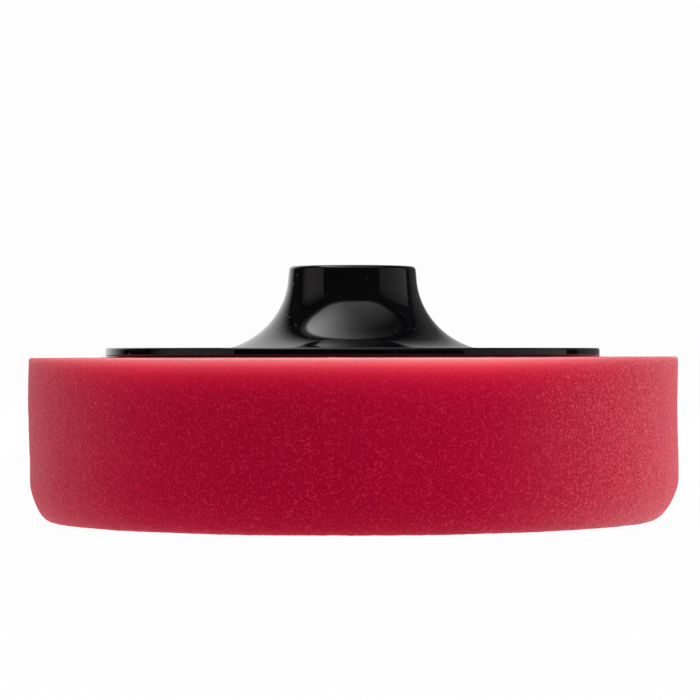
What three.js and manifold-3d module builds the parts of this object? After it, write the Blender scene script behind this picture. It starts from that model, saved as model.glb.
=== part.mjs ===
// A screw-on foam polishing head for a rotary or dual action polishing machine: a thick foam disc
// bonded under a thin moulded plate, whose flared hub holds a steel insert with an M14 thread.
// Millimetres, +Z up. The origin is the centre of the foam's flat working face, and the hub points up.

import * as THREE from "three";
import { mergeVertices } from "three/addons/utils/BufferGeometryUtils.js";
import Module from "manifold-3d";

const wasm = await Module();
wasm.setup();

// ---------- driving dimensions ----------

const SEGMENTS = 72; // round every turned shape

const foam = {
  radius: 75,
  height: 37.75,
  cornerWidth: 6, // the rounded lower edge, measured across the working face
  cornerHeight: 10.5, // and up the side
  topEdge: 0.5,
};

const plate = {
  radius: 57.25,
  thickness: 2,
  topEdge: 0.5,
};

const hub = {
  height: 18.9, // above the plate's top
  topRadius: 14.64, // where the side would meet the top without the rim's rounding
  rimRound: 0.95,
  draft: 0.093, // radius gained for each millimetre down, a draft of 5.3 degrees
  flareHeight: 15.5, // where the flare begins, above the plate's top
  flareReach: 16.5, // half-axes of the quarter ellipse that the flare follows
  flareDrop: 16.1,
};

const glue = {
  radius: 56.4,
  innerRadius: 8,
  thickness: 0.25,
};

const insert = {
  acrossFlats: 19,
  length: 17,
  grooveWidth: 3, // the waist that the plastic grips, so that the insert can't be pulled out
  grooveDepth: 1,
  clearance: 0.05,
};

const thread = {
  radius: 7, // M14
  pitch: 2,
  mouthRadius: 7.6, // of the 45 degree chamfers
  stepsPerTurn: 40,
};

const core = {
  bossRadius: 13.5, // the plastic left round the insert
  wall: 2, // the plastic left under the flare
  top: 8, // above the plate's top
  ribs: 8,
  ribThickness: 2,
};

const boreRadius = 7.2; // clears the spindle's end below the insert

const plateBottom = foam.height;
const plateTop = plateBottom + plate.thickness;
const hubTop = plateTop + hub.height;
const recessTop = plateBottom + glue.thickness;
const insertBottom = hubTop - insert.length;
const past = 1; // how far a cutter runs beyond the face that it opens

// ---------- outlines, in (radius, height) ----------

// Points on a quarter of an ellipse round (x, y), from one angle in quarter turns to another.
function arc(x, y, halfWidth, halfHeight, from, to, steps) {
  return Array.from({ length: steps + 1 }, (_, i) => {
    const angle = (Math.PI / 2) * (from + ((to - from) * i) / steps);
    return new THREE.Vector2(x + halfWidth * Math.cos(angle), y + halfHeight * Math.sin(angle));
  });
}

const corner = (x, y) => new THREE.Vector2(x, y);

// The hub's radius at a height above the plate: a straight draft, and below it the flare.
function hubRadius(height) {
  const drafted = hub.topRadius + hub.draft * (hub.height - height);
  const below = Math.max(0, hub.flareHeight - height) / hub.flareDrop;
  return drafted + hub.flareReach * (1 - Math.sqrt(1 - below * below));
}

// How fast that radius grows with height, which is a negative number all the way up.
function hubSlope(height) {
  const below = Math.max(0, hub.flareHeight - height) / hub.flareDrop;
  return -hub.draft - ((hub.flareReach / hub.flareDrop) * below) / Math.sqrt(1 - below * below);
}

// A point a wall's thickness inside the flare, measured square to its surface.
function underFlare(height) {
  const slope = hubSlope(height);
  const step = core.wall / Math.hypot(1, slope);
  return corner(hubRadius(height) - step, plateTop + height + step * slope);
}

// Heights from the flare's foot up, closer together near the foot, where it curves most.
function flareHeights(top, steps) {
  const crowding = 1.6;
  return Array.from({ length: steps + 1 }, (_, i) => top * (i / steps) ** crowding);
}

// ---------- solids ----------

// A turned solid. The outline runs so that the material is on its left, seen with the axis on the
// left and up as up, and it starts and ends on the axis, or closes on itself.
function turned(outline) {
  return new THREE.LatheGeometry(outline, SEGMENTS).rotateX(Math.PI / 2);
}

function solidOf(geometry) {
  const bare = geometry.clone();
  bare.deleteAttribute("normal");
  bare.deleteAttribute("uv");
  const merged = mergeVertices(bare, 1e-4);
  return new wasm.Manifold(
    new wasm.Mesh({
      numProp: 3,
      vertProperties: merged.getAttribute("position").array,
      triVerts: new Uint32Array(merged.index.array),
    }),
  );
}

function geometryOf(solid) {
  const { vertProperties, triVerts } = solid.getMesh();
  const geometry = new THREE.BufferGeometry();
  geometry.setAttribute("position", new THREE.BufferAttribute(vertProperties, 3));
  geometry.setIndex(new THREE.BufferAttribute(triVerts, 1));
  geometry.computeVertexNormals();
  return geometry;
}

// An upright hexagonal prism between two heights, with two of its flats facing along Y.
function hexagon(acrossFlats, bottom, top) {
  const height = top - bottom;
  return new THREE.CylinderGeometry(acrossFlats / Math.sqrt(3), acrossFlats / Math.sqrt(3), height, 6)
    .rotateX(Math.PI / 2)
    .rotateZ(Math.PI / 2)
    .translate(0, 0, bottom + height / 2);
}

// The insert's outside, grown by a clearance on every side but the bottom: a hexagon with a waist
// at half its length. It is also the shape of the hollow that holds it.
function insertBody(clearance, top) {
  const acrossFlats = insert.acrossFlats + 2 * clearance;
  const middle = insertBottom + insert.length / 2;
  const halfGroove = insert.grooveWidth / 2 - clearance;
  const waist = hexagon(acrossFlats - 2 * insert.grooveDepth, middle - halfGroove, middle + halfGroove);
  const groove = solidOf(hexagon(2 * acrossFlats, middle - halfGroove, middle + halfGroove));
  return solidOf(hexagon(acrossFlats, insertBottom, top)).subtract(groove.subtract(solidOf(waist)));
}

// A right-handed M14 tap, longer than the insert at both ends. One pitch has four rows: both ends
// of the root's flat, an eighth of a pitch long, and of the crest's flat, a quarter of a pitch long.
// A full turn ends four rows further up than it began, so the surface winds up as a screw.
function tap() {
  const { radius, pitch, stepsPerTurn } = thread;
  const triangleHeight = (pitch * Math.sqrt(3)) / 2;
  const crestRadius = radius - (5 / 8) * triangleHeight;
  const profile = [
    corner(radius, 0),
    corner(radius, pitch / 8),
    corner(crestRadius, (pitch * 7) / 16),
    corner(crestRadius, (pitch * 11) / 16),
  ];
  const perTurn = profile.length;
  const turns = Math.ceil(insert.length / pitch) + 3;
  const lastRow = perTurn * turns;
  const bottom = insertBottom - 2 * pitch;

  const positions = [];
  const made = new Map();
  const vertex = (step, row) => {
    if (step === stepsPerTurn) return vertex(0, row + perTurn);
    const key = `${step} ${row}`;
    if (!made.has(key)) {
      const turn = step / stepsPerTurn;
      const { x: r, y: rise } = profile[row % perTurn];
      const height = bottom + rise + pitch * (turn + Math.floor(row / perTurn));
      made.set(key, made.size);
      positions.push(r * Math.cos(2 * Math.PI * turn), r * Math.sin(2 * Math.PI * turn), height);
    }
    return made.get(key);
  };

  const faces = [];
  for (let step = 0; step < stepsPerTurn; step++) {
    for (let row = 0; row < lastRow; row++) {
      const [a, b] = [vertex(step, row), vertex(step + 1, row)];
      const [c, d] = [vertex(step + 1, row + 1), vertex(step, row + 1)];
      faces.push(a, b, c, a, c, d);
    }
  }

  // Each end is closed by a fan round a point on the axis. Its rim is the end row for one turn,
  // and then the steps of the profile back down to where that turn began.
  const endRim = (row) => [
    ...Array.from({ length: stepsPerTurn + 1 }, (_, step) => vertex(step, row)),
    ...Array.from({ length: perTurn - 1 }, (_, i) => vertex(0, row + perTurn - 1 - i)),
  ];
  const ends = [
    { rim: endRim(0).reverse(), height: bottom },
    { rim: endRim(lastRow), height: bottom + pitch * (turns + 1) },
  ];
  for (const { rim, height } of ends) {
    const centre = positions.length / 3;
    positions.push(0, 0, height);
    rim.forEach((from, i) => faces.push(centre, from, rim[(i + 1) % rim.length]));
  }

  const geometry = new THREE.BufferGeometry();
  geometry.setAttribute("position", new THREE.Float32BufferAttribute(positions, 3));
  geometry.setIndex(faces);
  return geometry;
}

// The cone that opens one end of the thread at 45 degrees. Its base stands outside the face, and
// it points into the insert: inwards is 1 where that is up, and -1 where it is down.
function chamfer(face, inwards) {
  const size = thread.mouthRadius + past;
  return new THREE.ConeGeometry(size, size, SEGMENTS)
    .rotateX((inwards * Math.PI) / 2)
    .translate(0, 0, face + inwards * (size / 2 - past));
}

// The ring-shaped hollow under the flare, which keeps the plastic to an even thickness, less the
// radial ribs that join the boss to the skin.
function coredPockets() {
  const skin = flareHeights(core.top, 7).map(underFlare);
  const roof = skin.at(-1).y;
  const floor = recessTop - past;
  const ring = solidOf(
    turned([
      corner(core.bossRadius, floor),
      corner(skin[0].x, floor),
      ...skin,
      corner(core.bossRadius, roof),
      corner(core.bossRadius, floor),
    ]),
  );
  const height = roof - floor + 2 * past;
  const cross = new THREE.BoxGeometry(4 * hub.flareReach, core.ribThickness, height);
  cross.translate(0, 0, floor - past + height / 2);
  let pockets = ring;
  for (let i = 0; i < core.ribs / 2; i++) {
    const rib = cross.clone().rotateZ((i * 2 * Math.PI) / core.ribs);
    pockets = pockets.subtract(solidOf(rib));
  }
  return pockets;
}

// ---------- sub-parts ----------

function foamPad() {
  const { radius, height, cornerWidth, cornerHeight, topEdge } = foam;
  return turned([
    corner(0, 0),
    ...arc(radius - cornerWidth, cornerHeight, cornerWidth, cornerHeight, -1, 0, 7),
    ...arc(radius - topEdge, height - topEdge, topEdge, topEdge, 0, 1, 2),
    corner(0, height),
  ]);
}

function adhesiveLayer() {
  return turned([
    corner(glue.innerRadius, plateBottom),
    corner(glue.radius, plateBottom),
    corner(glue.radius, recessTop),
    corner(glue.innerRadius, recessTop),
    corner(glue.innerRadius, plateBottom),
  ]);
}

// The plate and its hub are one moulding. The plate's edge stands lower than the recess that holds
// the glue, so it hides the glue.
function hubPlate() {
  const { radius, topEdge } = plate;
  const flareTop = hub.height - 3 * hub.rimRound;
  const flare = flareHeights(flareTop, 12).map((h) => corner(hubRadius(h), plateTop + h));
  const rimRadius = hubRadius(hub.height - hub.rimRound) - hub.rimRound;
  const body = solidOf(
    turned([
      corner(boreRadius, recessTop),
      corner(glue.radius, recessTop),
      corner(glue.radius, plateBottom),
      corner(radius, plateBottom),
      ...arc(radius - topEdge, plateTop - topEdge, topEdge, topEdge, 0, 1, 2),
      ...flare,
      ...arc(rimRadius, hubTop - hub.rimRound, hub.rimRound, hub.rimRound, 0, 1, 4),
      corner(boreRadius, hubTop),
      corner(boreRadius, recessTop),
    ]),
  );
  const socket = insertBody(insert.clearance, hubTop + past);
  return geometryOf(body.subtract(coredPockets()).subtract(socket));
}

function threadInsert() {
  const body = insertBody(0, hubTop)
    .subtract(solidOf(tap()))
    .subtract(solidOf(chamfer(hubTop, -1)))
    .subtract(solidOf(chamfer(insertBottom, 1)));
  return geometryOf(body);
}

// ---------- assembly ----------

const crimsonFoam = { color: 0xb01c3c, roughness: 0.95, metalness: 0 };
const glossBlack = { color: 0x0b0b0c, roughness: 0.15, metalness: 0 };
const zincSteel = { color: 0xb4b6b8, roughness: 0.35, metalness: 1 };
const clearGlue = { color: 0xd8cfae, roughness: 0.4, metalness: 0 };

const head = new THREE.Group();
for (const [name, geometry, look] of [
  ["foam_pad", foamPad(), crimsonFoam],
  ["adhesive_layer", adhesiveLayer(), clearGlue],
  ["hub_plate", hubPlate(), glossBlack],
  ["thread_insert", threadInsert(), zincSteel],
]) {
  const mesh = new THREE.Mesh(geometry, new THREE.MeshStandardMaterial(look));
  mesh.name = name;
  head.add(mesh);
}

export default head;
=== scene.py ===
"""A screw-on foam polishing head: a crimson foam disc under a glossy black plate, whose flared hub
holds a steel insert with an M14 thread. Sizes are in metres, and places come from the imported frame."""

import math

import bpy
import numpy as np
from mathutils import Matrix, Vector, noise


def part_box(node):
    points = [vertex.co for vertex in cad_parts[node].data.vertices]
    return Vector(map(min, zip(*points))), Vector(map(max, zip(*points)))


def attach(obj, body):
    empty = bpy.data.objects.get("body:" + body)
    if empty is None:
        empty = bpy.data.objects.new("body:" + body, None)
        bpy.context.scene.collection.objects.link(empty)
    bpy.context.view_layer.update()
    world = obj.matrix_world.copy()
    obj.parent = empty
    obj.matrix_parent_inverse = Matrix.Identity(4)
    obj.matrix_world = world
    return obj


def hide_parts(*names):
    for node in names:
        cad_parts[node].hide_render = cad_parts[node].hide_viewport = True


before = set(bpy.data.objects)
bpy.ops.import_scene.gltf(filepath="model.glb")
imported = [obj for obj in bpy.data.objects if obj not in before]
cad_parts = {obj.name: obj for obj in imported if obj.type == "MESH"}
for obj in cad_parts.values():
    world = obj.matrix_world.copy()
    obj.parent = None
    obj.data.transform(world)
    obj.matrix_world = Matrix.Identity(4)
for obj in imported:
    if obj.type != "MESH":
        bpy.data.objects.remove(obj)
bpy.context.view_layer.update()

MM = 0.001

# ---------- sizes from the frame ----------

foam_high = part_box("foam_pad")[1]
hub_low, hub_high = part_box("hub_plate")
insert_low, insert_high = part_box("thread_insert")
glue_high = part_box("adhesive_layer")[1]

FOAM_TRIM = 0.05 * MM  # how far the mean radius lies inside the CAD's, to leave room for relief
PLATE_THICKNESS = 2 * MM

FOAM_RADIUS = foam_high.x - FOAM_TRIM
FOAM_TOP = foam_high.z
PLATE_RADIUS = hub_high.x
PLATE_TOP = hub_low.z + PLATE_THICKNESS
HUB_TOP = hub_high.z
HUB_HEIGHT = HUB_TOP - PLATE_TOP
GLUE_RADIUS = glue_high.x
GLUE_TOP = glue_high.z
ACROSS_FLATS = insert_high.y - insert_low.y
INSERT_BOTTOM = insert_low.z
INSERT_LENGTH = insert_high.z - insert_low.z


# ---------- mesh helpers ----------


def new_piece(name, points, faces, material):
    """A smooth-shaded mesh object."""
    mesh = bpy.data.meshes.new(name)
    mesh.from_pydata([tuple(p) for p in points], [], faces)
    mesh.validate()
    mesh.shade_smooth()
    piece = bpy.data.objects.new(name, mesh)
    bpy.context.scene.collection.objects.link(piece)
    if material:
        mesh.materials.append(material)
    return piece


def quarter(x, z, half_width, half_height, start, end, steps):
    """Points on an ellipse round (x, z), between two angles in quarter turns."""
    angles = (math.pi / 2 * (start + (end - start) * i / steps) for i in range(steps + 1))
    return [(x + half_width * math.cos(a), z + half_height * math.sin(a)) for a in angles]


def around(count):
    """Angles of that many points spread evenly round the axis."""
    return [2 * math.pi * i / count for i in range(count)]


def turned(name, outline, columns, material=None):
    """A turned solid. The outline is a closed loop of (radius, height) that starts and ends on the
    axis, or joins its end to its start away from it. The material is on its left."""
    on_axis = outline[0][0] == 0
    ring_points = outline[1:-1] if on_axis else outline
    points = [(r * math.cos(a), r * math.sin(a), z) for r, z in ring_points for a in around(columns)]
    faces = []
    rings = len(ring_points)
    for k in range(rings - 1 if on_axis else rings):
        faces += ring_faces(k * columns, columns, (k + 1) % rings * columns, columns)
    if on_axis:
        first, last = len(points), len(points) + 1
        points += [(0, 0, outline[0][1]), (0, 0, outline[-1][1])]
        top = (rings - 1) * columns
        for i in range(columns):
            j = (i + 1) % columns
            faces.append((first, j, i))
            faces.append((last, top + i, top + j))
    return new_piece(name, points, faces, material)


def prism(name, sides, levels):
    """An upright prism whose corners lie at each level's radius: levels are (radius, height)."""
    points = [(r * math.cos(a), r * math.sin(a), z) for r, z in levels for a in around(sides)]
    last = (len(levels) - 1) * sides
    faces = [tuple(reversed(range(sides)))]
    for start in range(0, last, sides):
        faces += ring_faces(start, sides, start + sides, sides)
    faces.append(tuple(range(last, last + sides)))
    return new_piece(name, points, faces, None)


def ring_faces(start, count, next_start, next_count):
    """Faces between two rings, one of which may have twice as many points as the other."""
    if count == next_count:
        pairs = [(i, (i + 1) % count) for i in range(count)]
        return [(start + i, start + j, next_start + j, next_start + i) for i, j in pairs]
    faces = []
    coarse, fine = (start, next_start) if count < next_count else (next_start, start)
    few = min(count, next_count)
    for i in range(few):
        j = (i + 1) % few
        a, b, c = fine + 2 * i, fine + 2 * i + 1, fine + 2 * j
        made = [(a, b, coarse + i), (b, coarse + j, coarse + i), (b, c, coarse + j)]
        faces += made if coarse == next_start else [tuple(reversed(f)) for f in made]
    return faces


def cut(piece, *cutters):
    """Takes the cutters away from the piece, and removes them."""
    for cutter in cutters:
        step = piece.modifiers.new("cut", "BOOLEAN")
        step.operation = "DIFFERENCE"
        step.solver = "EXACT"
        step.object = cutter
        graph = bpy.context.evaluated_depsgraph_get()
        made = bpy.data.meshes.new_from_object(piece.evaluated_get(graph))
        piece.modifiers.clear()
        piece.data = made
        bpy.data.objects.remove(cutter)


def sharpen(piece, degrees):
    """Smooth shading, except across edges that turn by more than the angle."""
    piece.data.shade_smooth()
    piece.data.set_sharp_from_angle(angle=math.radians(degrees))


def smooth_step(value, low, high):
    """From 0 to 1 as the value goes from low to high, with no corner at either end."""
    share = np.clip((value - low) / (high - low), 0, 1)
    return share * share * (3 - 2 * share)


# ---------- material helpers ----------


class Nodes:
    """Builds a material's node tree, one call for each node."""

    def __init__(self, name, shader="ShaderNodeBsdfPrincipled"):
        self.material = bpy.data.materials.new(name)
        self.material.use_nodes = True
        self.tree = self.material.node_tree
        self.tree.nodes.clear()
        self.shader = self.add(shader)
        surface = self.add("ShaderNodeOutputMaterial").inputs["Surface"]
        self.feed(surface, self.shader.outputs[0])
        self.place = self.add("ShaderNodeTexCoord").outputs["Object"]

    def add(self, kind, **inputs):
        """A node, whose settings are given by name and whose inputs are given as in_NAME."""
        node = self.tree.nodes.new(kind)
        for key, value in inputs.items():
            if key.startswith("in_"):
                self.feed(node.inputs[key[3:].replace("_", " ")], value)
            else:
                setattr(node, key, value)
        return node

    def feed(self, socket, value):
        """Links the socket to another node's output, or sets it to a plain value."""
        if isinstance(value, bpy.types.NodeSocket):
            self.tree.links.new(value, socket)
        else:
            socket.default_value = value

    def math(self, operation, a, b=0.0):
        """The result of a math operation on one or two numbers."""
        node = self.add("ShaderNodeMath", operation=operation)
        self.feed(node.inputs[0], a)
        self.feed(node.inputs[1], b)
        return node.outputs[0]

    def vector(self, operation, a, b=(0, 0, 0)):
        """A vector operation's node, whose result is its Vector or its Value output."""
        node = self.add("ShaderNodeVectorMath", operation=operation)
        self.feed(node.inputs[0], a)
        self.feed(node.inputs[1], b)
        return node.outputs

    def product(self, first, *others):
        """All the numbers multiplied together."""
        for other in others:
            first = self.math("MULTIPLY", first, other)
        return first

    def total(self, first, *others):
        """All the numbers added together."""
        for other in others:
            first = self.math("ADD", first, other)
        return first

    def ramp(self, value, low, high, to_low=0.0, to_high=1.0):
        """A smooth step from to_low to to_high as the value goes from low to high."""
        node = self.add("ShaderNodeMapRange", interpolation_type="SMOOTHSTEP", in_Value=value)
        ends = {"From Min": low, "From Max": high, "To Min": to_low, "To Max": to_high}
        for name, number in ends.items():
            node.inputs[name].default_value = number
        return node.outputs[0]

    def fade(self, depth, start, length):
        """One down to the start, then dying away over that length."""
        past = self.math("DIVIDE", self.math("SUBTRACT", start, depth), length)
        return self.math("MINIMUM", self.math("EXPONENT", past), 1.0)

    def split(self):
        """The place's X, Y and Z."""
        return self.add("ShaderNodeSeparateXYZ", in_Vector=self.place).outputs

    def radius(self):
        """The distance from the axis."""
        flat = self.vector("MULTIPLY", self.place, (1, 1, 0))["Vector"]
        return self.vector("LENGTH", flat)["Value"]

    def noise(self, size, detail=2.0, roughness=0.5):
        """Noise with features of about that size, from 0 to 1."""
        node = self.add("ShaderNodeTexNoise", in_Vector=self.place, in_Scale=1 / size)
        node.inputs["Detail"].default_value = detail
        node.inputs["Roughness"].default_value = roughness
        return node.outputs["Fac"]

    def cells(self, size):
        """The distance to the nearest of scattered points about that far apart, in cell sizes."""
        node = self.add("ShaderNodeTexVoronoi", in_Vector=self.place, in_Scale=1 / size)
        return node.outputs["Distance"]

    def mix(self, amount, a, b):
        """One colour blended into another: only a at 0, and only b at 1."""
        node = self.add("ShaderNodeMix", data_type="RGBA")
        for name, value in (("Factor", amount), ("A", a), ("B", b)):
            sockets = [s for s in node.inputs if s.name == name and s.enabled]
            self.feed(sockets[0], value)
        return next(s for s in node.outputs if s.enabled)

    def bump(self, height, distance, strength=1.0):
        """A bent normal, as if the surface rose by the distance for each unit of height."""
        node = self.add("ShaderNodeBump", in_Height=height, in_Distance=distance, in_Strength=strength)
        return node.outputs["Normal"]

    def set(self, **inputs):
        """Sets the shader's own inputs, and gives the material."""
        for name, value in inputs.items():
            self.feed(self.shader.inputs[name.replace("_", " ")], value)
        return self.material


# ---------- materials ----------


FINE_GRAIN = 0.36 * MM
CELL_SPACING = 0.55 * MM
COARSE_GRAIN = 1.0 * MM
HAIR_SIZE = 0.2 * MM
GRAIN_RELIEF = 0.34 * MM
LEFT_END_SHEEN = 0.4  # how strongly the painted sheen pales the -X end, as a share of the +X end
GLOW_START = 1.3 * MM  # the painted glow, standing in for the light from above that enters the top, is full up to here from the rim
GLOW_FADE = 2.8 * MM
FUZZ_HIGHLIGHT_START = 0.5 * MM  # the fuzz and the painted highlight of the lit top edge are full up to here from the rim
FUZZ_HIGHLIGHT_FADE = 0.86 * MM
FUZZ_HIGHLIGHT_RAGGEDNESS = 0.6 * MM  # how far the grain moves the edge of the fuzz and painted highlight
FUZZ_HIGHLIGHT_AT_ENDS = 0.2  # the share of the fuzz and painted highlight that is left at the two ends


def rim_distance(n):
    """How far a point of the foam is from the sharp edge round its top."""
    inward = n.math("SUBTRACT", FOAM_RADIUS, n.radius())
    down = n.math("SUBTRACT", FOAM_TOP, n.split()["Z"])
    offset = n.add("ShaderNodeCombineXYZ", in_X=inward, in_Z=down).outputs[0]
    return n.vector("LENGTH", offset)["Value"]


def painted_rim_light_middle(n):
    """One across the middle of the disc, and dying away towards its two X ends: the mask of the painted
    light on the rim, which is laid on in the middle and not at the ends."""
    across = n.split()["X"]
    left = n.ramp(across, -1.1 * FOAM_RADIUS, -0.5 * FOAM_RADIUS)
    right = n.ramp(across, 0.95 * FOAM_RADIUS, 0.2 * FOAM_RADIUS)
    return n.product(left, right)


def painted_end_sheen(n):
    """How much painted sheen the side gets at its -X and its +X end, from nothing in the middle: paler
    colour standing in for the grazing side light there.
    """
    across = n.split()["X"]
    left = n.ramp(across, -0.5 * FOAM_RADIUS, -1.1 * FOAM_RADIUS)
    right = n.ramp(across, 0.3 * FOAM_RADIUS, FOAM_RADIUS)
    return left, right


def foam_body(n, grain, hairs):
    """The foam's colour below its rim: crimson cells with paler walls. Towards the two X ends both are
    painted paler, a painted sheen standing in for the grazing side light there. Some pores there get
    painted shade."""
    pore = (0.305, 0.0, 0.019, 1)
    wall = (0.437, 0.009, 0.040, 1)
    # painted shade: dark pores at the two ends, where the grazing side light leaves them unlit
    pore_shade = (0.15, 0.0, 0.012, 1)
    # painted sheen: paler cells at the two ends, standing in for the grazing side light
    sheen_pale_pore = (0.365, 0.017, 0.035, 1)
    sheen_pale_wall = (0.540, 0.068, 0.096, 1)
    left, right = painted_end_sheen(n)
    ends = n.total(left, right)
    end_sheen_share = n.total(n.product(left, LEFT_END_SHEEN), right)
    coarse = n.noise(COARSE_GRAIN, detail=2.0)
    # extra speckle of painted sheen and painted shade at the ends
    end_sheen_speckle = n.product(n.total(hairs, -0.5), ends, 0.7)
    tone = n.total(n.product(grain, 0.8), n.product(coarse, 0.2), end_sheen_speckle)
    is_wall = n.ramp(tone, 0.50, 0.68)
    is_shaded_pore = n.product(n.ramp(tone, 0.46, 0.34), ends, 0.7)
    body = n.mix(is_wall, n.mix(end_sheen_share, pore, sheen_pale_pore), n.mix(end_sheen_share, wall, sheen_pale_wall))
    return n.mix(is_shaded_pore, body, pore_shade)


def foam_rim(n, body, grain):
    """The body's colour with painted light on the rim. Near the rim there is a painted glow, standing in
    for the light from above that enters the top. At the cut rim itself there is a painted highlight of
    the lit top edge, partly real pale fuzz."""
    # glow is painted light: the brightening by the light that enters the top, laid into the base colour
    glow = (0.84, 0.010, 0.055, 1)
    # fuzz_and_highlight: partly real pale fuzz, partly a painted highlight of the top edge lit from
    # above
    fuzz_and_highlight = (0.70, 0.27, 0.28, 1)
    depth = rim_distance(n)
    ragged = n.total(depth, n.product(grain, FUZZ_HIGHLIGHT_RAGGEDNESS), -FUZZ_HIGHLIGHT_RAGGEDNESS / 2)
    middle = painted_rim_light_middle(n)
    fuzz_highlight_share = n.total(n.product(middle, 1 - FUZZ_HIGHLIGHT_AT_ENDS), FUZZ_HIGHLIGHT_AT_ENDS)
    painted_glow = n.product(n.fade(depth, GLOW_START, GLOW_FADE), middle)
    fuzz_highlight_mask = n.product(n.fade(ragged, FUZZ_HIGHLIGHT_START, FUZZ_HIGHLIGHT_FADE), fuzz_highlight_share)
    return n.mix(fuzz_highlight_mask, n.mix(painted_glow, body, glow), fuzz_and_highlight)


def foam_material():
    """Fine open-cell foam of a saturated crimson, whose surface lets light a little way in."""
    n = Nodes("crimson_foam")
    fine = n.noise(FINE_GRAIN, detail=1.0)
    cell = n.cells(CELL_SPACING)
    hairs = n.noise(HAIR_SIZE, detail=1.0)
    grain = n.total(n.product(fine, 0.6), n.product(cell, 0.4))
    return n.set(
        Base_Color=foam_rim(n, foam_body(n, grain, hairs), grain),
        Roughness=0.95,
        Subsurface_Weight=0.5,
        Subsurface_Radius=(4.0 * MM, 0.5 * MM, 0.8 * MM),
        Subsurface_Scale=1.0,
        Specular_IOR_Level=0.0,
        Sheen_Weight=0.22,
        Sheen_Roughness=0.42,
        Sheen_Tint=(1.0, 0.92, 0.90, 1),
        Normal=n.bump(n.total(n.product(grain, 0.35), n.product(hairs, 0.35)), GRAIN_RELIEF),
    )


def plastic_material():
    """Injection-moulded gloss black, with faint smudges, small moulding pits and a few dust specks."""
    n = Nodes("gloss_black_plastic")
    black = (0.002, 0.002, 0.0025, 1)
    dust_grey = (0.3, 0.28, 0.27, 1)
    smudge = n.ramp(n.noise(7 * MM, detail=4.0, roughness=0.6), 0.35, 0.75, 0.03, 0.08)
    dust = n.ramp(n.cells(2.4 * MM), 0.045, 0.06, 1.0, 0.0)
    ripple = n.product(n.noise(3 * MM, detail=2.0), 0.0012 * MM)
    pits = n.product(n.ramp(n.cells(2 * MM), 0.06, 0.11), 0.1 * MM)
    return n.set(
        Base_Color=n.mix(n.product(dust, 0.15), black, dust_grey),
        Roughness=n.total(smudge, n.product(dust, 0.4)),
        IOR=1.5,
        Normal=n.bump(n.total(ripple, pits), 1.0),
    )


def steel_material():
    """Zinc-plated steel with fine turning marks on its faces."""
    n = Nodes("zinc_plated_steel")
    dark_zinc = (0.50, 0.51, 0.52, 1)
    pale_zinc = (0.66, 0.66, 0.65, 1)
    mark_spacing = 0.16 * MM
    marks = n.math("SINE", n.product(n.radius(), 2 * math.pi / mark_spacing))
    grain = n.noise(0.9 * MM, detail=3.0)
    return n.set(
        Base_Color=n.mix(grain, dark_zinc, pale_zinc),
        Metallic=1.0,
        Roughness=n.ramp(grain, 0.3, 0.8, 0.22, 0.42),
        Normal=n.bump(n.total(n.product(marks, 0.3), grain), 0.01 * MM, 0.5),
    )


def glue_material():
    """Cream hot-melt glue."""
    n = Nodes("hot_melt_glue")
    amber = (0.72, 0.62, 0.42, 1)
    cream = (0.85, 0.78, 0.6, 1)
    lumps = n.noise(2.5 * MM, detail=3.0)
    return n.set(
        Base_Color=n.mix(lumps, amber, cream),
        Roughness=n.ramp(lumps, 0.2, 0.8, 0.25, 0.5),
        Normal=n.bump(lumps, 0.1 * MM, 0.5),
    )


# ---------- the foam ----------

FOAM_COLUMNS = 840
CORNER_ROWS = 26
SIDE_ROWS = 44
TOP_EDGE_ROWS = 3
TOP_ROWS = 24

CORNER_WIDTH = 5.18 * MM
CORNER_WIDTH_SWING = 0.48 * MM  # how much broader the cut is on the +X side than its mean
CORNER_HEIGHT = 9.28 * MM
CORNER_HEIGHT_SWING = 0.25 * MM
CORNER_POWER = 1.57  # a power of 2 would make the rounded lower edge an ellipse
TOP_EDGE = 0.5 * MM
RIM_GAP = 0.1 * MM

FOAM_SHIFT = 0.23 * MM  # the disc is glued this far off the hub's axis, towards +X
FOAM_LEAN = 0.17 * MM  # how far its +X end rises, and its -X end falls
FOAM_SAG = 0.23 * MM  # how far its free top falls
FOAM_SAG_TILT = 0.07 * MM  # how much more than that it falls at the back, and less at the front
FOAM_LIFT = 0.18 * MM  # how far its lower half rises
BELLY = 0.03 * MM  # how far its side swells above the middle of its height, and draws in below it
BELLY_SWING = 0.18 * MM  # how much more it does so at the -X end, and less at the +X end
BELLY_REACH = 9 * MM

FOAM_RELIEF = ((0.10 * MM, 14 * MM), (0.05 * MM, 3.1 * MM), (0.05 * MM, 0.9 * MM))  # height, size
FACE_RELIEF = 0.4  # the working face's share of that relief
RELIEF_START = 2 * MM  # on the top, the relief grows to its full over this far from the plate
LIP_WIDTH = 1.6 * MM
LIP_HEIGHT = 0.12 * MM
LIP_TEARS = ((1.0, 1.3 * MM), (0.6, 0.6 * MM))  # share, size


def corner_width(angle):
    """How far in the rounded lower edge starts. It is cut a little broader on the +X side."""
    return CORNER_WIDTH + CORNER_WIDTH_SWING * np.cos(angle)


def corner_height(angle):
    """How far up the rounded lower edge ends."""
    return CORNER_HEIGHT + CORNER_HEIGHT_SWING * np.cos(angle)


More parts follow.
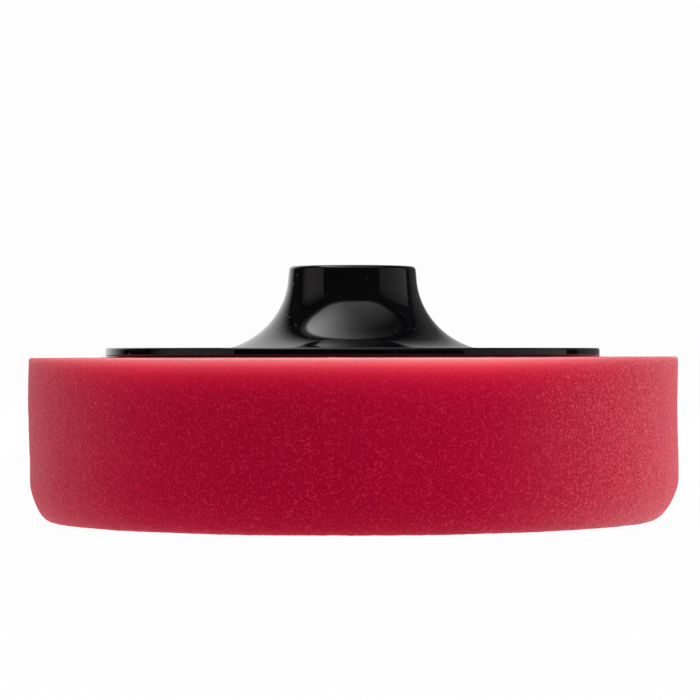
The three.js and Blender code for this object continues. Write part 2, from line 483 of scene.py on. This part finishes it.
def foam_rings():
    """The rings of the foam's surface, from the working face's centre, up the side and back to the
    top's centre, each as its angles, radii and heights. Hidden rings have fewer columns."""
    rings = []

    def add(columns, radius, height):
        angle = np.array(around(columns))
        sizes = [s(angle) if callable(s) else np.full(columns, s) for s in (radius, height)]
        rings.append((angle, *sizes))

    fewer = FOAM_COLUMNS // 8
    face_rings = ((fewer, 0.03, 0.3, 8), (2 * fewer, 0.34, 0.6, 8), (4 * fewer, 0.62, 0.97, 14))
    for columns, start, end, steps in face_rings:
        for share in np.linspace(start, end, steps):
            add(columns, lambda a, share=share: share * (FOAM_RADIUS - corner_width(a)), 0.0)
    for turn in np.linspace(0, math.pi / 2, CORNER_ROWS + 1):
        inward = 1 - math.sin(turn) ** (2 / CORNER_POWER)
        upward = 1 - math.cos(turn) ** (2 / CORNER_POWER)
        add(
            FOAM_COLUMNS,
            lambda a, inward=inward: FOAM_RADIUS - corner_width(a) * inward,
            lambda a, upward=upward: corner_height(a) * upward,
        )
    side_top = FOAM_TOP - TOP_EDGE
    for share in np.linspace(0, 1, SIDE_ROWS + 1)[1:]:
        add(
            FOAM_COLUMNS,
            FOAM_RADIUS,
            lambda a, share=share: corner_height(a) + (side_top - corner_height(a)) * share,
        )
    edge = FOAM_RADIUS - TOP_EDGE
    for radius, height in quarter(edge, side_top, TOP_EDGE, TOP_EDGE, 0, 1, TOP_EDGE_ROWS)[1:]:
        add(FOAM_COLUMNS, radius, height)
    for radius in np.linspace(edge, PLATE_RADIUS + RIM_GAP, TOP_ROWS + 1)[1:]:
        add(FOAM_COLUMNS, radius, FOAM_TOP)
    hidden_rings = ((4, 0.985), (2, 0.93), (1, 0.8), (1, 0.4), (1, 0.05))
    for times, share in hidden_rings:
        add(times * fewer, share * PLATE_RADIUS, FOAM_TOP)
    return rings


def foam_relief(points, normals):
    """Roughens the foam: slow waves in the cut, torn cells, and a ruffled lip round the plate."""
    for i, (point, normal) in enumerate(zip(points, normals)):
        x, y, z = point
        radius = math.hypot(x, y)
        past_plate = radius - PLATE_RADIUS
        share = 1.0
        if z > FOAM_TOP - MM:
            share = min(1.0, max(0.0, past_plate / RELIEF_START))
        elif z < MM and radius < 0.8 * FOAM_RADIUS:
            share = FACE_RELIEF
        place = Vector(point)
        relief = sum(height * noise.noise(place / size) for height, size in FOAM_RELIEF)
        points[i] = point + normal * (relief * share)
        if z > FOAM_TOP - 0.1 * MM and 0 < past_plate < LIP_WIDTH:
            rise = math.sin(math.pi * past_plate / (LIP_WIDTH + 0.1 * MM))
            tear = sum((part * noise.noise(place / size) for part, size in LIP_TEARS), 0.5)
            points[i][2] += max(0.0, rise * tear) * LIP_HEIGHT


def foam_lean(points):
    """Leans the soft disc by an eighth of a degree, and slides it off the hub's axis. What the
    plate holds stays level."""
    spots = np.array(points)
    x, y, z = spots.T
    held = smooth_step(np.hypot(x, y), PLATE_RADIUS + MM, PLATE_RADIUS - 2 * MM)
    held *= z > FOAM_TOP - MM
    sag = FOAM_SAG + FOAM_SAG_TILT * y / FOAM_RADIUS
    rise = FOAM_LEAN * x / FOAM_RADIUS + np.where(z > FOAM_TOP / 2, -sag, FOAM_LIFT)
    spots[:, 2] += rise * (1 - held)
    spots[:, 0] += FOAM_SHIFT
    return spots


def foam_pad():
    """The foam disc: its rings joined into one closed surface, then roughened and leaned."""
    points, faces, starts = [], [], []
    for angle, radius, height in foam_rings():
        starts.append((len(points), len(angle)))
        swell = np.sin(2 * math.pi * (height / FOAM_TOP - 0.5)) * (radius > FOAM_RADIUS - BELLY_REACH)
        radius = radius + (BELLY - BELLY_SWING * np.cos(angle)) * swell
        points += list(np.stack([radius * np.cos(angle), radius * np.sin(angle), height], axis=1))
    for (start, count), (next_start, next_count) in zip(starts, starts[1:]):
        faces += ring_faces(start, count, next_start, next_count)
    for (start, count), height, upwards in ((starts[0], 0.0, False), (starts[-1], FOAM_TOP, True)):
        centre = len(points)
        points.append(np.array((0.0, 0.0, height)))
        for i in range(count):
            j = (i + 1) % count
            edge = (start + i, start + j) if upwards else (start + j, start + i)
            faces.append((*edge, centre))
    piece = new_piece("foam_disc", points, faces, foam_material())
    normals = [np.array(v.normal) for v in piece.data.vertices]
    foam_relief(points, normals)
    piece.data.vertices.foreach_set("co", foam_lean(points).astype(np.float32).ravel())
    piece.data.update()
    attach(piece, "root")
    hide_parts("foam_pad")


# ---------- the plate and hub ----------

DRAFT = 0.093  # how much the neck widens for each unit down
HUB_TOP_RADIUS = 14.64 * MM
FLARE_HEIGHT = 15.5 * MM  # how far above the plate the flare starts
FLARE_REACH = 16.5 * MM  # it follows an ellipse of this half width
FLARE_DROP = 16.1 * MM  # and of this half height
HUB_RIM = 0.95 * MM
PLATE_EDGE = 0.5 * MM
PLATE_BELLY = 1.0 * MM  # how far up the plate's wall its widest part starts
PLATE_LEAN = 0.045 * MM  # how far the wall turns in below that
EDGE_GAP = 0.03 * MM  # from the rounded edge down to a ring that keeps the wall's shading upright
LEVEL_GAPS = (4 * MM, 0.6 * MM)  # from the flare out to rings that keep the plate's shading level
RIM_START = 0.05  # where the rim's rounding leaves the draft, in quarter turns from level
BORE_RADIUS = 7.2 * MM
SOCKET_GAP = 0.05 * MM
HUB_COLUMNS = 288
FLARE_ROWS = 60
FLARE_CROWDING = 1.4  # above 1, the rows crowd towards the plate, where the flare bends most


def hub_radius(height):
    """The hub's radius at a height above the plate: a straight draft, and below it the flare."""
    below = max(0.0, FLARE_HEIGHT - height) / FLARE_DROP
    drafted = HUB_TOP_RADIUS + DRAFT * (HUB_HEIGHT - height)
    return drafted + FLARE_REACH * (1 - math.sqrt(1 - below * below))


def hub_outline():
    """Half the hub's section, from the foot of the bore out along the plate and up the flare."""
    flare_top = HUB_HEIGHT - 1.5 * HUB_RIM
    heights = [flare_top * (i / FLARE_ROWS) ** FLARE_CROWDING for i in range(FLARE_ROWS + 1)]
    rim = hub_radius(HUB_HEIGHT - HUB_RIM) - HUB_RIM
    wall = PLATE_RADIUS - PLATE_LEAN
    edge, edge_foot = PLATE_RADIUS - PLATE_EDGE, PLATE_TOP - PLATE_EDGE
    return [
        (BORE_RADIUS, GLUE_TOP),
        (GLUE_RADIUS, GLUE_TOP),
        (GLUE_RADIUS, hub_low.z),
        *quarter(wall, hub_low.z + PLATE_BELLY, PLATE_LEAN, PLATE_BELLY, -1, 0, 10),
        (PLATE_RADIUS, edge_foot - EDGE_GAP),
        *quarter(edge, edge_foot, PLATE_EDGE, PLATE_EDGE, 0, 1, 8),
        *[(hub_radius(0) + gap, PLATE_TOP) for gap in LEVEL_GAPS],
        *[(hub_radius(h), PLATE_TOP + h) for h in heights],
        *quarter(rim, HUB_TOP - HUB_RIM, HUB_RIM, HUB_RIM, RIM_START, 1, 10),
        (BORE_RADIUS, HUB_TOP),
    ]


def hub_plate():
    """The plate and hub in one moulding, with a hexagonal socket for the insert."""
    piece = turned("backing_plate_and_hub", hub_outline(), HUB_COLUMNS, plastic_material())
    corner = (ACROSS_FLATS + 2 * SOCKET_GAP) / math.sqrt(3)
    bevel = 0.3 * MM
    socket = prism(
        "socket",
        6,
        [
            (corner, INSERT_BOTTOM),
            (corner, HUB_TOP - bevel),
            (corner + bevel, HUB_TOP),
            (corner + bevel, HUB_TOP + MM),
        ],
    )
    cut(piece, socket)
    sharpen(piece, 35)
    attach(piece, "root")
    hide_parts("hub_plate")


# ---------- the insert ----------

THREAD_RADIUS = 7 * MM
THREAD_PITCH = 2 * MM
THREAD_MOUTH = 7.6 * MM  # the radius of the countersink at each end, which narrows at 45 degrees
THREAD_STEPS = 96


def tap():
    """A right-handed M14 screw, longer than the insert at both ends."""
    depth = 5 / 8 * THREAD_PITCH * math.sqrt(3) / 2
    crest = THREAD_RADIUS - depth
    profile = [(THREAD_RADIUS, 0), (THREAD_RADIUS, 1 / 8), (crest, 7 / 16), (crest, 11 / 16)]
    per_turn = len(profile)
    turns = math.ceil(INSERT_LENGTH / THREAD_PITCH) + 3
    last = per_turn * turns
    bottom = INSERT_BOTTOM - 2 * THREAD_PITCH
    points, made = [], {}

    def vertex(step, row):
        if step == THREAD_STEPS:
            return vertex(0, row + per_turn)
        if (step, row) not in made:
            made[step, row] = len(points)
            radius, rise = profile[row % per_turn]
            turn = step / THREAD_STEPS
            height = bottom + THREAD_PITCH * (rise + turn + row // per_turn)
            angle = 2 * math.pi * turn
            points.append((radius * math.cos(angle), radius * math.sin(angle), height))
        return made[step, row]

    faces = [
        (vertex(s, r), vertex(s + 1, r), vertex(s + 1, r + 1), vertex(s, r + 1))
        for s in range(THREAD_STEPS)
        for r in range(last)
    ]
    top = bottom + THREAD_PITCH * (turns + 1)
    for row, height, upwards in ((0, bottom, False), (last, top, True)):
        rim = [vertex(s, row) for s in range(THREAD_STEPS + 1)]
        rim += [vertex(0, row + back) for back in range(per_turn - 1, 0, -1)]
        centre = len(points)
        points.append((0, 0, height))
        for a, b in zip(rim, rim[1:] + rim[:1]):
            faces.append((centre, a, b) if upwards else (centre, b, a))
    return new_piece("tap", points, faces, None)


def thread_insert():
    """The hexagonal steel insert, with its thread and a countersink at each end."""
    corner = ACROSS_FLATS / math.sqrt(3)
    bevel = 0.25 * MM
    piece = prism(
        "steel_thread_insert",
        6,
        [
            (corner - bevel, INSERT_BOTTOM),
            (corner, INSERT_BOTTOM + bevel),
            (corner, HUB_TOP - bevel),
            (corner - bevel, HUB_TOP),
        ],
    )
    reach = THREAD_MOUTH + MM
    over, under = HUB_TOP + MM, INSERT_BOTTOM - MM
    upper_cone = [(0, HUB_TOP - THREAD_MOUTH), (reach, over), (0, over)]
    lower_cone = [(0, under), (reach, under), (0, INSERT_BOTTOM + THREAD_MOUTH)]
    upper = turned("upper", upper_cone, THREAD_STEPS)
    lower = turned("lower", lower_cone, THREAD_STEPS)
    cut(piece, tap(), upper, lower)
    piece.data.materials.append(steel_material())
    sharpen(piece, 30)
    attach(piece, "root")
    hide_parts("thread_insert")


# ---------- the glue ----------


def adhesive_layer():
    """The CAD's own film of glue, with a material."""
    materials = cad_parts["adhesive_layer"].data.materials
    materials.clear()
    materials.append(glue_material())


# ---------- studio ----------

WHITE = 0.982
FLOOR_HALF = 30.0
FLOOR_DROP = 0.2 * MM  # it lies below the roughness of the foam's working face
FLOOR_SHADE = 0.02  # how much darker than white the floor is under the object
BOUNCE_NEAR = 1.22  # how brightly the floor close to the object lights it
BOUNCE_FAR = 0.72
MIRRORED_WORLD = 0.03  # how bright the world is to anything but the camera


def emitter(name, points, mirrored, strength, tint=(1, 1, 1, 1)):
    """A lit panel that the camera doesn't see. What is glossy mirrors it, or only matt surfaces are
    lit by it. The strength is a function of the panel's node tree."""
    n = Nodes(name, "ShaderNodeEmission")
    lit = n.set(Strength=strength(n), Color=tint)
    panel = new_piece(name, points, [tuple(range(len(points)))], lit)
    panel.visible_camera = False
    panel.visible_glossy = mirrored


SOFTBOX_HEIGHT = 0.85
SOFTBOX_CENTRE = (0.05, -0.17)
SOFTBOX_HALF = (0.62, 0.58)
SOFTBOX_POWER = 2.4  # a rounded square: 2 would be an ellipse
SOFTBOX_GLOW = 0.2  # straight above the object
SOFTBOX_SLOPE = -1.3  # the change in that glow for each metre towards the back
SOFTBOX_DIMMEST = 0.04
HALO = 1.25  # how far the glow past the softbox's edge reaches, in softbox sizes
HALO_SHARE = 0.13  # its brightness as a share of the softbox's
BULB_STRENGTH = 3.7
BULB_CENTRE = (-0.38, 0.25)
BULB_SPREAD = (0.29, 0.65)


def overhead_light(n):
    """A bulb's hot spot at the back left, in an even glow that is brighter in front."""
    spot = n.split()["X"], n.split()["Y"]

    def bell(value, centre, width):
        away = n.math("DIVIDE", n.math("SUBTRACT", value, centre), width)
        return n.math("EXPONENT", n.product(away, away, -1.0))

    bulb = n.product(*map(bell, spot, BULB_CENTRE, BULB_SPREAD), BULB_STRENGTH)
    sloping = n.total(n.product(spot[1], SOFTBOX_SLOPE), SOFTBOX_GLOW)
    glow = n.math("MAXIMUM", sloping, SOFTBOX_DIMMEST)
    sides = []
    for value, centre, half in zip(spot, SOFTBOX_CENTRE, SOFTBOX_HALF):
        away = n.math("ABSOLUTE", n.math("DIVIDE", n.math("SUBTRACT", value, centre), half))
        sides.append(n.math("POWER", away, SOFTBOX_POWER))
    edge = n.math("POWER", n.total(*sides), 1 / SOFTBOX_POWER)
    inside = n.ramp(edge, 1.06, 0.94, HALO_SHARE, 1.0)
    return n.product(n.total(bulb, glow), inside, n.ramp(edge, HALO, 1.0))


def overhead_softbox():
    """A rounded square, a little in front of the object and to its right."""
    points = []
    for a in around(96):
        place = []
        for along, centre, half in zip((math.cos(a), math.sin(a)), SOFTBOX_CENTRE, SOFTBOX_HALF):
            reach = math.copysign(abs(along) ** (2 / SOFTBOX_POWER), along)
            place.append(centre + half * HALO * reach)
        points.append((*place, SOFTBOX_HEIGHT))
    emitter("overhead_softbox", points, True, overhead_light)


def upright_panel(name, azimuth, size, strength, distance=0.8, mirrored=True, tint=(1, 1, 1, 1)):
    """A vertical panel facing the object, of that width and height. Azimuth 0 is towards the camera
    and 90 towards +X. The strength is a function of the node tree, of how far right of the panel's
    middle a point is, seen from the object, and of its height."""
    width, height = size
    a = math.radians(azimuth)
    centre = Vector((math.sin(a), -math.cos(a), 0)) * distance
    right = Vector((-math.cos(a), -math.sin(a), 0))
    left_foot, right_foot = centre - right * width / 2, centre + right * width / 2
    top = Vector((0, 0, height))
    points = [left_foot, right_foot, right_foot + top, left_foot + top]

    def glow(n):
        across = n.vector("DOT_PRODUCT", n.place, right)["Value"]
        return strength(n, across, n.split()["Z"])

    emitter(name, points, mirrored, glow, tint)


def back_panel(n, across, height):
    """Brightest left of its middle. It fades at its far left and upwards, and dims to its right in
    two steps."""
    left = n.ramp(across, -1.75, -0.5)
    middle = n.ramp(across, 0.1, -0.4, 0.6, 1.07)
    right = n.ramp(across, 0.55, 0.05, 0.21, 1.0)
    return n.product(left, n.product(middle, right), n.ramp(height, 2.1, 0.85))


def right_panel(n, across, height):
    """Brighter towards its left and in its lower part."""
    return n.product(n.ramp(across, 0.5, -0.5, 0.28, 0.47), n.ramp(height, 0.62, 0.25, 0.5, 1.0))


def left_panel(n, across, height):
    """Fading away at its right and towards its top."""
    return n.product(n.ramp(across, 0.40, 0.06, 0.0, 0.38), n.ramp(height, 0.80, 0.40))


def matt_fill(name, azimuth, width, strength):
    """An even panel that lights only matt surfaces."""

    def even(n, across, height):
        return strength

    upright_panel(name, azimuth, (width, 0.8), even, mirrored=False)


def top_fill():
    """A square lamp above and behind the object that lights only matt surfaces."""
    half, back, height = 0.3, 0.25, 0.8
    corners = ((-1, -1), (-1, 1), (1, 1), (1, -1))
    points = [(x * half, back + y * half, height) for x, y in corners]
    emitter("top_fill", points, False, lambda n: 4.0)


def studio_lights():
    """The overhead light, the panels that the black plastic mirrors, and the fills for the foam."""
    warm = (1.0, 0.94, 0.91, 1)
    overhead_softbox()
    upright_panel("back_panel", 180, (3.6, 2.1), back_panel, distance=1.3)
    upright_panel("right_panel", 81.5, (0.98, 0.62), right_panel, tint=warm)
    upright_panel("left_panel", -80, (0.80, 0.80), left_panel, tint=warm)
    matt_fill("right_fill", 80, width=0.9, strength=6.3)
    matt_fill("right_rim_fill", 135, width=0.6, strength=1.9)
    matt_fill("left_fill", -62, width=0.9, strength=2.7)
    top_fill()


def floor():
    """Pale, and as bright as the white backdrop to the camera, with a soft bounce on to the foam."""
    n = Nodes("pale_floor")
    ray = n.add("ShaderNodeLightPath").outputs
    bounce = n.product(ray["Is Diffuse Ray"], n.ramp(n.radius(), 0.30, 0.09, BOUNCE_FAR, BOUNCE_NEAR))
    seen = n.product(ray["Is Camera Ray"], n.ramp(n.radius(), 0.1, 1.0, WHITE - FLOOR_SHADE, WHITE))
    pale = n.set(
        Base_Color=(0.02, 0.02, 0.02, 1),
        Roughness=0.9,
        Specular_IOR_Level=0.0,
        Emission_Color=(1, 1, 1, 1),
        Emission_Strength=n.total(bounce, seen),
    )
    corners = ((-1, -1), (1, -1), (1, 1), (-1, 1))
    points = [(x * FLOOR_HALF, y * FLOOR_HALF, -FLOOR_DROP) for x, y in corners]
    piece = new_piece("floor", points, [(0, 1, 2, 3)], pale)


def backdrop():
    """White behind the object, and dim for what is lit by it or mirrors it."""
    world = bpy.data.worlds.new("studio")
    bpy.context.scene.world = world
    world.use_nodes = True
    tree = world.node_tree
    seen = tree.nodes.new("ShaderNodeLightPath").outputs["Is Camera Ray"]
    brightness = tree.nodes.new("ShaderNodeMapRange")
    brightness.inputs["To Min"].default_value = MIRRORED_WORLD
    brightness.inputs["To Max"].default_value = WHITE
    background = tree.nodes["Background"].inputs
    background["Color"].default_value = (1, 1, 1, 1)
    tree.links.new(seen, brightness.inputs["Value"])
    tree.links.new(brightness.outputs[0], background["Strength"])
    bpy.context.scene.view_settings.view_transform = "Standard"


CAMERA_DISTANCE = 0.740
CAMERA_SIDE = -0.56 * MM
CAMERA_DROP = 0.5 * MM  # how far it is below the plate's top
LENS_MM = 163.9
SENSOR_MM = 36


def camera():
    """A long lens, level with the plate's top, looking along +Y."""
    data = bpy.data.cameras.new("camera")
    data.lens = LENS_MM
    data.sensor_width = SENSOR_MM
    data.clip_start = 0.01
    data.clip_end = 200
    made = bpy.data.objects.new("camera", data)
    made.location = (CAMERA_SIDE, -CAMERA_DISTANCE, PLATE_TOP - CAMERA_DROP)
    made.rotation_euler = (math.pi / 2, 0, 0)
    bpy.context.scene.collection.objects.link(made)
    bpy.context.scene.camera = made


camera()
studio_lights()
floor()
backdrop()
foam_pad()
hub_plate()
thread_insert()
adhesive_layer()
